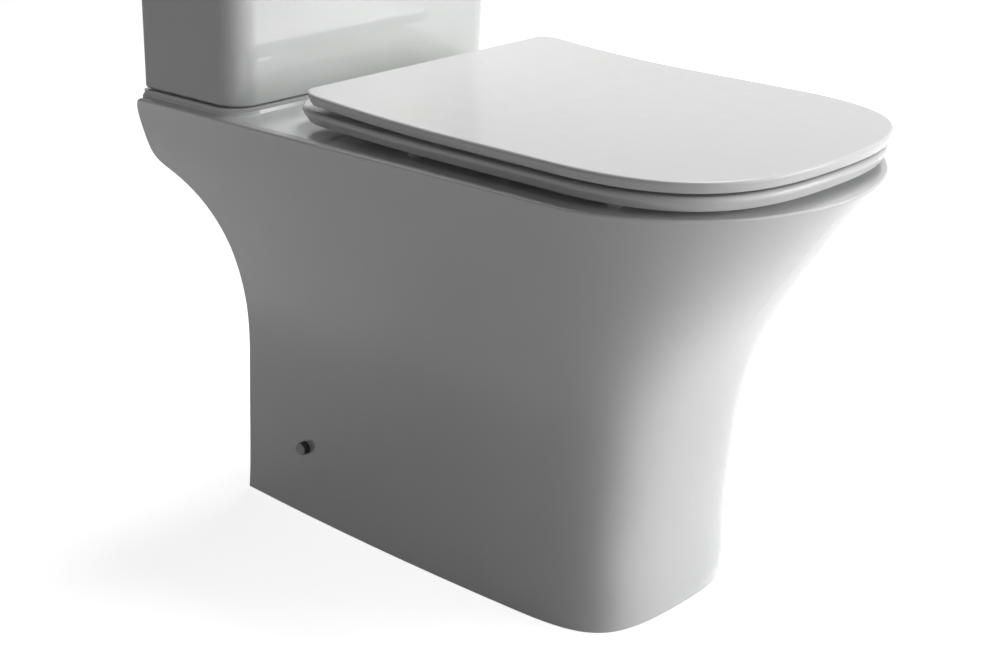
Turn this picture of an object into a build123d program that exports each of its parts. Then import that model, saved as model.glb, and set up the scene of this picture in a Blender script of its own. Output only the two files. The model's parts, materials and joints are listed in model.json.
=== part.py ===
from build123d import *
import math
import os

os.makedirs("parts", exist_ok=True)

# Close coupled pan with seat, lid and cistern. Millimetres, +Z up, front of the pan towards -Y.
# The origin is on the floor, midway between the pan's front and its rearmost edge.
# Distances "from the wall" are measured forwards from the rear line of the deck.

# Pan casting, outside
pan_length = 655.8
nose_rounding = 1.3
pan_width = 361.6
rim_height = 406.5
foot_half_width = 105.6
foot_rear_half_width = 81.0
foot_front_from_wall = 510.0
foot_front_lean = 22.0
rear_overrun = 16.0
side_bend_height = 185.0
side_bend_softness = 33.5
front_bend_height = 228.0
front_bend_softness = 55.5
widest_from_wall_foot = 411.0
widest_from_wall_rim = 483.0
front_fullness_foot = (0.85, 0.84)
front_fullness_rim = (0.73, 0.40)
rim_edge_radius = 1.5
section_heights = (0.0, 60.0, 120.0, 165.0, 205.0, 245.0, 290.0, 335.0, 375.0)
top_section_gap = 15.0

# Rear edge of the skirt: distance from the wall and height, from the floor up
skirt_rear_edge = ((44.0, 0.0), (49.0, 90.0), (54.0, 165.0), (63.0, 225.0), (65.0, 268.0))

# Chin above it, up to the deck: distance from the wall and drop below the rim
chin_edge = (
    (48.0, 97.5),
    (15.0, 72.0),
    (4.0, 65.5),
    (-1.0, 58.5),
    (-2.0, 50.5),
    (-1.0, 36.5),
    (1.5, 18.5),
    (5.0, 8.5),
    (13.0, 0.0),
)
chin_overhang = 2.0

# Pan casting, walls
skirt_wall = 11.0
deck_thickness = 16.0
bowl_wall = 9.0

# Deck pad that carries the seat hinges, and the platform that carries the cistern
deck_rise = 1.2
deck_front_from_wall = 243.5
deck_rear_from_wall = 16.0
deck_corner_radius = 8.0
deck_margin = 2.0
deck_edge_slope = 4.0
platform_rise = 5.5
platform_margin = 2.0
platform_foot = 2.5

# Bowl: height, half width, distance of its front and rear from the wall side
bowl_levels = (
    (406.0, 136.0, 602.0, 290.0),
    (385.0, 133.0, 599.0, 293.0),
    (330.0, 113.0, 569.0, 306.0),
    (270.0, 86.0, 526.0, 322.0),
    (210.0, 64.0, 480.0, 338.0),
    (150.0, 49.0, 442.0, 354.0),
    (105.0, 42.0, 429.0, 362.0),
    (72.0, 30.0, 416.0, 370.0),
)
bowl_roundness = 0.62

# Trapway centre line, as distance from the wall side and height
trap_dip = (316.0, 105.0)
trap_start = 394.0
trap_crest = (242.0, 255.0)
trap_tail = 139.0
trap_bore_radius = 38.0
trap_bend_radius = 56.0
outlet_radius = 51.0
outlet_length = 60.0
outlet_height = 190.0
outlet_from_wall = 50.0

# Flush inlet in the platform
inlet_recess_radius = 46.0
inlet_recess_depth = 41.0
inlet_wall = 9.0
throat_radius = 27.0
duct_radius = 20.0
duct_drop = 17.2

# Fixing holes in the casting
side_fixing_from_wall = 134.0
side_fixing_height = 71.0
side_fixing_hole_radius = 4.0
spot_face_radius = 6.8
spot_face_half_width = 94.0
hinge_spacing = 155.0
hinge_hole_radius = 6.5
coupling_spacing = 160.0
coupling_hole_radius = 5.5

# Cistern
cistern_width = 338.0
cistern_depth = 124.5
cistern_from_wall = 6.5
cistern_height = 340.0
cistern_corner_radius = 27.0
cistern_rear_corner_radius = 5.0
cistern_side_flare = 3.4
cistern_front_flare = 6.0
cistern_wall = 11.0
cistern_inner_corner_radius = 16.0
cistern_floor = 12.0
cistern_bottom_radius = 3.0
cistern_joint_gap = 0.8
wall_screw_spacing = 220.0
wall_screw_hole_radius = 4.5
wall_screw_drop = 55.0
cistern_lid_overhang = 4.0
cistern_lid_thickness = 30.0
cistern_lid_plate = 10.0
cistern_lid_edge_radius = 6.0
cistern_lid_lip_depth = 8.0
cistern_lid_lip_wall = 5.0
cistern_lid_lip_clearance = 2.0

# Lid of the seat; the heights are above the rim at the front
lid_half_width = 170.0
lid_rear_half_width = 163.3
lid_front_from_wall = 642.5
lid_rear_from_wall = 206.5
lid_widest_from_wall = 495.0
lid_fullness = (0.95, 0.46)
lid_corner_radius = 19.0
lid_bottom_height = 21.0
lid_thickness = 9.5
lid_skin = 4.0
lid_border = 6.0
lid_side_undercut = 3.3
lid_top_edge_radius = 2.2
lid_rear_rise = 7.0

# Seat ring
seat_half_width = 168.0
seat_rear_half_width = 163.0
seat_front_from_wall = 640.0
seat_rear_from_wall = 184.0
seat_corner_radius = 42.0
seat_side_undercut = 5.0
seat_bottom_height = 5.8
seat_thickness = 11.5
seat_top_edge_radius = 3.5
seat_rear_rise = 5.5
seat_hole_half_width = 112.0
seat_hole_front_from_wall = 582.0
seat_hole_rear_from_wall = 306.0

# Both sweep up towards the hinges from here
rise_from_wall = 376.0

# Hinges
hinge_axis_from_wall = 199.0
hinge_axis_above_deck = 19.5
hinge_pin_radius = 4.0
pin_running_clearance = 0.05
pin_fixed_clearance = 0.02
post_width = 24.0
post_half_depth = 7.5
knuckle_radius = 8.0
knuckle_length = 20.0
hinge_side_gap = 1.0
hinge_swing_gap = 5.0
lid_arm_gap = 1.0
lid_arm_cover = 1.5
base_plate_radius = 13.5
base_plate_thickness = 3.0
hinge_bolt_radius = 3.0
hinge_bolt_head_radius = 5.0
hinge_bolt_head_height = 4.0
hinge_bolt_length = 36.0
hinge_sleeve_length = 28.0
hinge_screw_pocket_gap = 1.0

# Rubber buffers: half spacing across and distance from the wall side
seat_buffer_radius = 6.0
seat_buffer_places = ((146.0, 325.0), (145.0, 533.0))
lid_buffer_radius = 5.0
lid_buffer_places = ((140.0, 392.0), (136.0, 530.0))

# Floor fixing on each side
cap_radius = 6.2
cap_height = 9.0
cap_wall = 1.2
side_screw_radius = 2.2
side_screw_head_radius = 4.2
side_screw_head_height = 2.5
side_screw_length = 34.0
sleeve_wall = 1.0
sleeve_clearance = 0.2
bracket_thickness = 4.0
bracket_width = 30.0
bracket_height = 90.0
bracket_foot = 34.0
bracket_block = 10.0
bracket_wall_gap = 0.6

# Cistern coupling
coupling_bolt_radius = 3.5
coupling_bolt_head_radius = 9.0
coupling_bolt_head_height = 4.0
cone_radius = 12.0
cone_height = 6.0
coupling_washer_radius = 13.0
coupling_washer_thickness = 3.0
wing_nut_radius = 8.0
wing_nut_height = 10.0
wing_span = 32.0
wing_thickness = 3.5
coupling_bolt_tail = 8.0
fit_clearance = 0.1

# Flush valve
valve_tail_radius = 29.5
valve_tail_bore = 24.0
valve_tail_length = 34.0
valve_hole_clearance = 2.5
valve_flange_radius = 41.0
valve_flange_thickness = 6.0
gasket_thickness = 3.0
valve_nut_radius = 38.0
valve_nut_height = 13.0
doughnut_clearance = 0.5
valve_seat_height = 4.0
valve_seat_wall = 2.0
cage_radius = 38.0
cage_wall = 3.0
cage_ring_height = 6.0
cage_window_height = 44.0
cage_leg_width = 10.0
cage_height = 234.0
cage_cap_thickness = 4.0
riser_radius = 12.0
riser_wall = 2.0
riser_height = 268.0
riser_guide_clearance = 0.4
seal_radius = 29.0
seal_thickness = 4.0
seal_carrier_radius = 27.0
seal_carrier_thickness = 6.0
rocker_pivot_x = -3.0
rocker_pivot_above_cap = 14.0
rocker_half_height = 3.0
rocker_arm_inside = 13.5
rocker_arm_width = 4.0
rocker_lift_reach = 23.0
rocker_push_reach = 22.5
rocker_bar = 5.0
rocker_pad = 6.0
rocker_pad_inside = 6.0
rocker_pin_radius = 1.5
ear_gap = 0.5
ear_width = 4.0
ear_half_length = 6.0
lug_half_width = 6.0
lug_thickness = 3.6
push_gap = 0.4

# Dual flush button in the cistern lid
bezel_radius = 36.0
bezel_thickness = 3.0
collar_radius = 24.5
collar_hole_clearance = 0.5
collar_length = 28.0
collar_nut_radius = 33.0
collar_nut_height = 8.0
button_radius = 21.0
button_clearance = 0.5
button_split_y = 4.0
button_split_gap = 1.0
button_height = 9.0
housing_floor = 2.5
rod_radius = 2.5
rod_x = 16.5
rod_y = 8.0
rod_hole_clearance = 0.5
spring_radius = 4.0
spring_wall = 0.8
spring_x = -10.0
spring_y = 9.5

# Half flush slider in the cage's cap
slider_half_x = 3.0
slider_half_y = 1.5
slider_head_half = 4.0
slider_head_thickness = 3.0
slider_head_above_cap = 12.0
slider_drop = 40.0
slider_clearance = 0.3
slider_shoulder = 2.0
slider_shoulder_height = 4.0

# Fill valve
fill_from_side = 43.0
fill_from_wall = 45.0
fill_inlet_radius = 10.3
fill_inlet_length = 34.0
fill_tail_radius = 11.0
fill_tail_bore = 6.0
fill_tail_length = 11.0
fill_hole_clearance = 1.0
fill_access_radius = 22.0
fill_nut_radius = 16.5
fill_nut_height = 9.0
fill_flange_radius = 18.0
fill_flange_thickness = 4.0
stem_radius = 11.0
stem_height = 256.0
fill_head_radius = 16.0
fill_head_height = 26.0
fill_cap_radius = 17.0
fill_cap_height = 7.0
float_radius = 26.0
float_height = 48.0
float_clearance = 0.3
float_bottom = 190.0
float_stop_radius = 14.0
float_stop_height = 5.0
float_wall = 2.0
float_post_reach = 19.5
float_post_radius = 2.5
float_bracket_thickness = 6.0
arm_pivot_reach = 20.0
arm_reach = 22.0
arm_back = 3.0
arm_half_width = 3.5
arm_half_height = 2.0
arm_pivot_drop = 18.0
arm_pin_radius = 1.5
arm_ear_width = 3.0
arm_ear_half_length = 5.0

# Places worked out from the sizes above
wall_y = pan_length / 2 - chin_overhang
front_y = -pan_length / 2 - nose_rounding
deck_z = rim_height + deck_rise
platform_z = deck_z + platform_rise
cistern_z = platform_z + cistern_joint_gap
cistern_inner_z = cistern_z + cistern_floor
cistern_top_z = cistern_z + cistern_height
cistern_lid_top_z = cistern_top_z + cistern_lid_thickness
cistern_rear_y = wall_y - cistern_from_wall
cistern_front_y = cistern_rear_y - cistern_depth
valve_y = (cistern_rear_y + cistern_front_y) / 2
fill_y = wall_y - fill_from_wall
hinge_y = wall_y - hinge_axis_from_wall
hinge_z = deck_z + hinge_axis_above_deck
post_x = hinge_spacing / 2
deck_bottom_z = rim_height - deck_thickness
inlet_floor_z = platform_z - inlet_recess_depth
duct_height = inlet_floor_z - duct_drop
fill_x = cistern_width / 2 - fill_from_side


def at_wall(distance):
    """The y place that lies this far in front of the wall side."""
    return wall_y - distance


def save(shape, node):
    """Writes one node's solids to its own file."""
    solids = ShapeList(shape.solids())
    body = solids[0] if len(solids) == 1 else Compound(children=list(solids))
    body.label = node
    export_step(body, f"parts/{node}.step")


def drum(radius, low, high, x=0.0, y=0.0):
    """An upright cylinder between two heights."""
    return Pos(x, y, (low + high) / 2) * Cylinder(radius, high - low)


def tube(outer, inner, low, high, x=0.0, y=0.0):
    """An upright tube between two heights."""
    return drum(outer, low, high, x, y) - drum(inner, low - 1, high + 1, x, y)


def rod_x_wise(radius, x_low, x_high, y, z):
    """A cylinder along X."""
    return Pos((x_low + x_high) / 2, y, z) * Rot(0, 90, 0) * Cylinder(radius, x_high - x_low)


def rod_y_wise(radius, y_low, y_high, x, z):
    """A cylinder along Y."""
    return Pos(x, (y_low + y_high) / 2, z) * Rot(90, 0, 0) * Cylinder(radius, y_high - y_low)


def block(x_low, x_high, y_low, y_high, z_low, z_high):
    """A box given by its two corners."""
    centre = Pos((x_low + x_high) / 2, (y_low + y_high) / 2, (z_low + z_high) / 2)
    return centre * Box(x_high - x_low, y_high - y_low, z_high - z_low)


def both_sides(shape):
    """The shape and its mirror image across the middle plane."""
    return Compound(children=[*shape.solids(), *mirror(shape, Plane.YZ).solids()])


def flare(z, bend_height, softness):
    """From 0 on the floor to 1 at the rim: upright below the bend, a straight slope above it."""

    def lean(height):
        return height - bend_height + math.hypot(height - bend_height, softness)

    return (lean(z) - lean(0.0)) / (lean(rim_height) - lean(0.0))


def between(low, high, share):
    return low + (high - low) * share


def mirrored_wire(half):
    """A closed wire from the left half of an outline, whose first and last points lie on the middle plane or face
    each other across it."""
    right = [edge.mirror(Plane.YZ) for edge in half]
    edges = list(half) + right
    start = half[0] @ 0
    if abs(start.X) > 1e-6:
        edges.append(Line(start, Vector(-start.X, start.Y, start.Z)))
    return Wire(edges)


def pan_section(z, inset=0.0, height=None):
    """Outline of the pan at one height; inset moves it inwards for the hollow."""
    share = z / rim_height
    side = flare(z, side_bend_height, side_bend_softness)
    front = flare(z, front_bend_height, front_bend_softness)
    widest = between(foot_half_width, pan_width / 2, side) - inset
    rear = between(foot_rear_half_width, pan_width / 2, side) - inset
    foot_front = at_wall(foot_front_from_wall)
    nose = foot_front - foot_front_lean * share + (front_y - foot_front + foot_front_lean) * front + inset
    belly_y = at_wall(between(widest_from_wall_foot, widest_from_wall_rim, share))
    forward = between(front_fullness_foot[0], front_fullness_rim[0], share)
    inward = between(front_fullness_foot[1], front_fullness_rim[1], share)
    rear_y = wall_y + rear_overrun
    z_at = z if height is None else height
    side_edge = Bezier((-rear, rear_y, z_at), (-widest, (rear_y + belly_y) / 2, z_at), (-widest, belly_y, z_at))
    nose_edge = Bezier(
        (-widest, belly_y, z_at),
        (-widest, belly_y + (nose - belly_y) * forward, z_at),
        (-widest * inward, nose, z_at),
        (0, nose, z_at),
    )
    return mirrored_wire([side_edge, nose_edge])


def bowl_section(level, grow, z_at):
    """Outline of the bowl at one of its levels, grown for its outside."""
    _, half_width, front, rear = level
    half_width = half_width + grow
    front_at = at_wall(front) - grow
    rear_at = at_wall(rear) + grow
    middle = (front_at + rear_at) / 2
    rear_edge = Bezier(
        (0, rear_at, z_at),
        (-half_width * bowl_roundness, rear_at, z_at),
        (-half_width, between(middle, rear_at, bowl_roundness), z_at),
        (-half_width, middle, z_at),
    )
    front_edge = Bezier(
        (-half_width, middle, z_at),
        (-half_width, between(middle, front_at, bowl_roundness), z_at),
        (-half_width * bowl_roundness, front_at, z_at),
        (0, front_at, z_at),
    )
    return mirrored_wire([rear_edge, front_edge])


def bowl_solid(grow, top_z, bottom_drop):
    """The bowl's hollow, or its outside when grown."""
    wires = [bowl_section(bowl_levels[0], grow, top_z)]
    for level in bowl_levels[1:-1]:
        wires.append(bowl_section(level, grow, level[0]))
    wires.append(bowl_section(bowl_levels[-1], grow, bowl_levels[-1][0] - bottom_drop))
    return Solid.make_loft(wires)


def trap_path():
    """Centre line of the trapway, from inside the bowl's sump to the outlet's end."""
    corners = [
        (0, at_wall(trap_start), trap_dip[1]),
        (0, at_wall(trap_dip[0]), trap_dip[1]),
        (0, at_wall(trap_crest[0]), trap_crest[1]),
        (0, at_wall(trap_tail), outlet_height),
        (0, at_wall(outlet_from_wall), outlet_height),
    ]
    return FilletPolyline(*corners, radius=trap_bend_radius)


def trap_solid(radius):
    """A pipe of this radius along the trapway."""
    path = trap_path()
    ring = Plane(origin=path @ 0, z_dir=path % 0) * Circle(radius)
    return sweep(ring, path=path)


def rounded_block(half_width, y_low, y_high, radius, z_low, z_high):
    """An upright block with rounded corners."""
    centre = Pos(0, (y_low + y_high) / 2, z_low)
    return centre * extrude(RectangleRounded(2 * half_width, y_high - y_low, radius), z_high - z_low)


def tank_outline(half_width, y_low, y_high, radii, z):
    """Closed outline, flat behind, with (front, rear) corner radii."""
    front, rear = radii
    half = [
        Line((0, y_low, z), (-(half_width - front), y_low, z)),
        RadiusArc((-(half_width - front), y_low, z), (-half_width, y_low + front, z), front),
        Line((-half_width, y_low + front, z), (-half_width, y_high - rear, z)),
        RadiusArc((-half_width, y_high - rear, z), (-(half_width - rear), y_high, z), rear),
        Line((-(half_width - rear), y_high, z), (0, y_high, z)),
    ]
    return mirrored_wire(half)


def lower_sections():
    """Heights of the outlines below the rim."""
    return [z for z in section_heights if z < rim_height - top_section_gap]


def skirt_solid():
    """The outside of the casting, before its hollow: flared skirt with the rear edge cut to its curve."""
    wires = [pan_section(z) for z in (*lower_sections(), rim_height)]
    outside = Solid.make_loft(wires)
    top_edges = outside.edges().group_by(Axis.Z)[-1].sort_by(Axis.Y)[:-1]
    outside = fillet(top_edges, rim_edge_radius)
    edge = [*skirt_rear_edge, *[(distance, rim_height - drop) for distance, drop in chin_edge]]
    curve = Spline(*[(0, at_wall(distance), z) for distance, z in edge])
    top = (0, (curve @ 1).Y, rim_height + 1)
    outline = [
        curve,
        Line(curve @ 1, top),
        Line(top, (0, wall_y + 2 * rear_overrun, rim_height + 1)),
        Line((0, wall_y + 2 * rear_overrun, rim_height + 1), (0, wall_y + 2 * rear_overrun, -1)),
        Line((0, wall_y + 2 * rear_overrun, -1), (0, at_wall(skirt_rear_edge[0][0]), -1)),
        Line((0, at_wall(skirt_rear_edge[0][0]), -1), curve @ 0),
    ]
    behind = extrude(Face(Wire(outline)), pan_width, both=True, dir=(1, 0, 0))
    return outside - behind


def hollow_solid():
    """The space inside the skirt, open below and behind."""
    wires = [pan_section(0.0, skirt_wall, -1.0)]
    for z in lower_sections()[1:]:
        wires.append(pan_section(z, skirt_wall))
    wires.append(pan_section(deck_bottom_z, skirt_wall))
    return Solid.make_loft(wires)


def deck_pad():
    """The raised part of the deck behind the bowl, with sides that slope down to the rim."""
    outlines = []
    for z, slope in ((rim_height, 0.0), (deck_z, deck_edge_slope)):
        half_width = pan_width / 2 - deck_margin - slope
        y_low = at_wall(deck_front_from_wall) + slope
        radii = (deck_corner_radius, deck_corner_radius)
        outlines.append(tank_outline(half_width, y_low, at_wall(deck_rear_from_wall), radii, z))
    return Solid.make_loft(outlines, True)


def platform_slab(grow_low, grow_high, z_low, z_high):
    """A slab of the step that carries the cistern, grown below and above by these margins."""
    outlines = []
    for z, grow in ((z_low, grow_low), (z_high, grow_high)):
        half_width = cistern_width / 2 + platform_margin + grow
        y_low = cistern_front_y - platform_margin - grow
        radii = (cistern_corner_radius + grow, cistern_rear_corner_radius)
        outlines.append(tank_outline(half_width, y_low, cistern_rear_y, radii, z))
    return Solid.make_loft(outlines, True)


def inlet_cup():
    """Wall of the flush inlet under the platform."""
    return drum(inlet_recess_radius + inlet_wall, duct_height - duct_radius - inlet_wall, deck_z, 0, valve_y)


def duct_bore():
    """Passage of the flush water from the inlet to the back of the bowl."""
    mouth_y = at_wall(bowl_levels[2][3]) - bowl_wall
    return rod_y_wise(duct_radius, mouth_y, valve_y + duct_radius, 0, duct_height)


def pan():
    """Skirt, rim and deck of the casting."""
    body = skirt_solid() - hollow_solid()
    body += deck_pad()
    body += platform_slab(platform_foot, platform_foot, rim_height - deck_thickness / 2, deck_z)
    body += platform_slab(platform_foot, 0.0, deck_z, deck_z + platform_foot)
    body += platform_slab(0.0, 0.0, deck_z, platform_z)
    body += inlet_cup()
    body -= bowl_solid(0.0, rim_height + 1, 0.0)
    body -= drum(inlet_recess_radius, inlet_floor_z, platform_z + 1, 0, valve_y)
    body -= drum(throat_radius, duct_height, inlet_floor_z + 1, 0, valve_y)
    body -= duct_bore()
    for side in (-1, 1):
        body -= drum(hinge_hole_radius, deck_bottom_z - 20, deck_z + 1, side * post_x, hinge_y)
        body -= drum(coupling_hole_radius, deck_bottom_z - 20, platform_z + 1, side * coupling_spacing / 2, valve_y)
        side_y = at_wall(side_fixing_from_wall)
        hole = rod_x_wise(side_fixing_hole_radius, 60, foot_half_width + 20, side_y, side_fixing_height)
        face = rod_x_wise(spot_face_radius, spot_face_half_width, foot_half_width + 20, side_y, side_fixing_height)
        cut = hole + face
        body -= cut if side > 0 else mirror(cut, Plane.YZ)
    return body - drum(fill_access_radius, deck_bottom_z - 20, platform_z + 1, fill_x, fill_y)


def bowl_and_trap():
    """Bowl, flush duct, trapway and outlet of the casting, which hang from the underside of its rim and deck."""
    body = bowl_solid(bowl_wall, deck_bottom_z, bowl_wall)
    body += trap_solid(trap_bore_radius + bowl_wall)
    spigot = Pos(0, at_wall(outlet_from_wall + outlet_length / 2), outlet_height)
    body += spigot * Rot(90, 0, 0) * Cylinder(outlet_radius, outlet_length)
    body += rod_y_wise(duct_radius + inlet_wall, at_wall(bowl_levels[0][3]), valve_y, 0, duct_height)
    body -= inlet_cup()
    body -= bowl_solid(0.0, rim_height + 1, 0.0)
    body -= trap_solid(trap_bore_radius)
    return body - duct_bore()


def cistern_shell(inset, z_low, z_high):
    """A tapering box with rounded corners, inset inside the cistern's outside."""

    def outline(z):
        share = (z - cistern_z) / cistern_height
        half_width = cistern_width / 2 + cistern_side_flare * share - inset
        y_low = cistern_front_y - cistern_front_flare * share + inset
        if inset > 0:
            radii = (cistern_inner_corner_radius, cistern_inner_corner_radius)
        else:
            radii = (cistern_corner_radius, cistern_rear_corner_radius)
        return tank_outline(half_width, y_low, cistern_rear_y - inset, radii, z)

    return Solid.make_loft([outline(z_low), outline(z_high)], True)


def cistern():
    body = cistern_shell(0.0, cistern_z, cistern_top_z)
    body = fillet(body.edges().group_by(Axis.Z)[0], cistern_bottom_radius)
    body -= cistern_shell(cistern_wall, cistern_inner_z, cistern_top_z + 1)
    body -= drum(valve_tail_radius + valve_hole_clearance, cistern_z - 1, cistern_inner_z + 1, 0, valve_y)
    body -= drum(fill_tail_radius + fill_hole_clearance, cistern_z - 1, cistern_inner_z + 1, fill_x, fill_y)
    for side in (-1, 1):
        body -= drum(
            coupling_hole_radius, cistern_z - 1, cistern_inner_z + 1, side * coupling_spacing / 2, valve_y
        )
        screw_z = cistern_top_z - wall_screw_drop
        body -= rod_y_wise(
            wall_screw_hole_radius,
            cistern_rear_y - 2 * cistern_wall,
            cistern_rear_y + 1,
            side * wall_screw_spacing / 2,
            screw_z,
        )
    return body


def cistern_lid():
    half_width = cistern_width / 2 + cistern_side_flare
    y_low = cistern_front_y - cistern_front_flare
    over = cistern_lid_overhang
    radii = (cistern_corner_radius + over, cistern_rear_corner_radius)
    outline = [
        tank_outline(half_width + over, y_low - over, cistern_rear_y, radii, z)
        for z in (cistern_top_z, cistern_lid_top_z)
    ]
    body = Solid.make_loft(outline, True)
    body = fillet(body.edges().group_by(Axis.Z)[-1], cistern_lid_edge_radius)
    inset = cistern_wall + cistern_lid_lip_clearance
    corner = cistern_inner_corner_radius - cistern_lid_lip_clearance
    lip_z = cistern_top_z - cistern_lid_lip_depth
    body += rounded_block(
        half_width - inset, y_low + inset, cistern_rear_y - inset, corner, lip_z, cistern_top_z
    )
    inset += cistern_lid_lip_wall
    body -= rounded_block(
        half_width - inset,
        y_low + inset,
        cistern_rear_y - inset,
        corner - cistern_lid_lip_wall,
        lip_z - 1,
        cistern_lid_top_z - cistern_lid_plate,
    )
    hole = collar_radius + collar_hole_clearance
    return body - drum(hole, cistern_top_z, cistern_lid_top_z + 1, 0, valve_y)


def d_outline(widths, front, widest, rear, fullness, corner, inset, z_at):
    """D-shaped outline of the seat and its lid: (widest, rear) half widths and places from the wall side."""
    half_width = widths[0] - inset
    rear_half_width = widths[1] - inset
    nose = at_wall(front) + inset
    belly_y = at_wall(widest)
    back_y = at_wall(rear) - inset
    corner_y = back_y - corner
    corner_point = (-(rear_half_width - corner), back_y, z_at)
    back_edge = Line((0, back_y, z_at), corner_point)
    round_edge = Bezier(
        corner_point,
        (-(rear_half_width - corner * (1 - circle_share)), back_y, z_at),
        (-rear_half_width, corner_y + corner * circle_share, z_at),
        (-rear_half_width, corner_y, z_at),
    )
    side_edge = Bezier(
        (-rear_half_width, corner_y, z_at),
        (-between(rear_half_width, half_width, 0.6), (corner_y + belly_y) / 2, z_at),
        (-half_width, belly_y, z_at),
    )
    nose_edge = Bezier(
        (-half_width, belly_y, z_at),
        (-half_width, between(belly_y, nose, fullness[0]), z_at),
        (-half_width * fullness[1], nose, z_at),
        (0, nose, z_at),
    )
    return mirrored_wire([back_edge, round_edge, side_edge, nose_edge])


# Share of a circle's radius that a curve's handles take on a quarter turn
circle_share = 0.5523

# How far a rising slab runs past the piece that is cut from it
sweep_overrun = 1.1


def sweep_up(low, high, rear_from_wall, rise):
    """A slab across the whole width between two heights, level in front and curving up by a rise at its rear."""
    start_y = at_wall(rise_from_wall)
    run = at_wall(rear_from_wall) - start_y
    end_y = start_y + run * sweep_overrun
    end_rise = rise * sweep_overrun**2
    front_at = front_y - (end_y - start_y)

    def curve(z):
        return Bezier((0, start_y, z), (0, (start_y + end_y) / 2, z), (0, end_y, z + end_rise))

    lower, upper = curve(low), curve(high)
    outline = [
        Line((0, front_at, low), (0, start_y, low)),
        lower,
        Line(lower @ 1, upper @ 1),
        upper,
        Line((0, start_y, high), (0, front_at, high)),
        Line((0, front_at, high), (0, front_at, low)),
    ]
    return extrude(Face(Wire(outline)), pan_width, both=True, dir=(1, 0, 0))


def d_prism(widths, front, widest, rear, fullness, corner, inset, z_low, z_high, undercut_per_mm, z_edge):
    """A prism on the D outline whose sides lean in below the height of its top edge."""
    wires = []
    for z in (z_low, z_high):
        lean = (z_edge - z) * undercut_per_mm
        wires.append(d_outline(widths, front, widest, rear, fullness, corner, inset + lean, z))
    return Solid.make_loft(wires, True)


def lid_outline_solid(inset):
    """The lid's footprint as a tall prism, inset by a border for its hollow."""
    edge = rim_height + lid_bottom_height + lid_thickness
    return d_prism(
        (lid_half_width, lid_rear_half_width),
        lid_front_from_wall,
        lid_widest_from_wall,
        lid_rear_from_wall,
        lid_fullness,
        lid_corner_radius,
        inset,
        edge - 2 * lid_thickness,
        edge + 2 * lid_rear_rise,
        lid_side_undercut / lid_thickness,
        edge,
    )


def top_outline(body):
    """Edges round the upper faces of a plate, without the seam where it starts to rise."""
    seam_y = at_wall(rise_from_wall)
    edges = ShapeList()
    for face in body.faces():
        if face.normal_at().Z > 0.9:
            edges += face.edges()
    return [edge for edge in edges if abs(edge.center().X) > 1 or abs(edge.center().Y - seam_y) > 1]


def lid_arm():
    """Arm of the lid on its +X hinge: a knuckle on the pin that reaches forward under the lid's rear border."""
    outer = post_x - post_width / 2 - hinge_side_gap
    inner = outer - knuckle_length
    reach_y = hinge_y - post_half_depth - hinge_swing_gap + lid_arm_gap
    ceiling = rim_height + lid_bottom_height + lid_thickness + lid_rear_rise * (1 - lid_arm_cover / lid_thickness)
    ceiling -= lid_arm_cover
    lid_rear_y = at_wall(lid_rear_from_wall)
    profile = Polyline(
        (inner, hinge_y + knuckle_radius * 0.5, hinge_z + knuckle_radius * 0.866),
        (inner, lid_rear_y, ceiling),
        (inner, reach_y, ceiling),
        (inner, reach_y, hinge_z - knuckle_radius * 0.25),
        (inner, hinge_y, hinge_z - knuckle_radius),
        close=True,
    )
    arm = extrude(Face(Wire(profile.edges())), knuckle_length, dir=(1, 0, 0))
    arm += rod_x_wise(knuckle_radius, inner, outer, hinge_y, hinge_z)
    return arm - rod_x_wise(hinge_pin_radius + pin_running_clearance, inner - 1, outer + 1, hinge_y, hinge_z)


def seat_lid():
    bottom = rim_height + lid_bottom_height
    top = bottom + lid_thickness
    body = lid_outline_solid(0.0) & sweep_up(bottom, top, lid_rear_from_wall, lid_rear_rise)
    body = fillet(top_outline(body), lid_top_edge_radius)
    hollow_slab = sweep_up(bottom - lid_thickness, top - lid_skin, lid_rear_from_wall, lid_rear_rise)
    body -= lid_outline_solid(lid_border) & hollow_slab
    arm = lid_arm()
    return body + arm + mirror(arm, Plane.YZ)


def seat():
    bottom = rim_height + seat_bottom_height
    top = bottom + seat_thickness
    outer = d_prism(
        (seat_half_width, seat_rear_half_width),
        seat_front_from_wall,
        lid_widest_from_wall,
        seat_rear_from_wall,
        lid_fullness,
        seat_corner_radius,
        0.0,
        bottom - seat_thickness,
        top + 2 * seat_rear_rise,
        seat_side_undercut / seat_thickness,
        top,
    )
    body = outer & sweep_up(bottom, top, seat_rear_from_wall, seat_rear_rise)
    body = fillet(top_outline(body), seat_top_edge_radius)
    hole_level = (0.0, seat_hole_half_width, seat_hole_front_from_wall, seat_hole_rear_from_wall)
    hole_ends = (bottom - seat_thickness, top + seat_thickness)
    body -= Solid.make_loft([bowl_section(hole_level, 0.0, z) for z in hole_ends], True)
    inner = post_x + post_width / 2 + hinge_side_gap
    outer_x = inner + knuckle_length
    swing_front = hinge_y - post_half_depth - hinge_swing_gap
    body -= block(-inner, inner, swing_front, wall_y, bottom - seat_thickness, top + seat_thickness)
    for side in (-1, 1):
        low, high = sorted((side * inner, side * outer_x))
        body += rod_x_wise(knuckle_radius, low, high, hinge_y, hinge_z)
        body -= rod_x_wise(hinge_pin_radius + pin_running_clearance, low - 1, high + 1, hinge_y, hinge_z)
    return body


def seat_buffers():
    parts = []
    for x, distance in seat_buffer_places:
        pad = drum(seat_buffer_radius, rim_height, rim_height + seat_bottom_height, x, at_wall(distance))
        parts += both_sides(pad).solids()
    return Compound(children=parts)


def lid_buffers():
    low = rim_height + seat_bottom_height + seat_thickness
    high = rim_height + lid_bottom_height + lid_thickness - lid_skin
    parts = []
    for x, distance in lid_buffer_places:
        parts += both_sides(drum(lid_buffer_radius, low, high, x, at_wall(distance))).solids()
    return Compound(children=parts)


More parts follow.
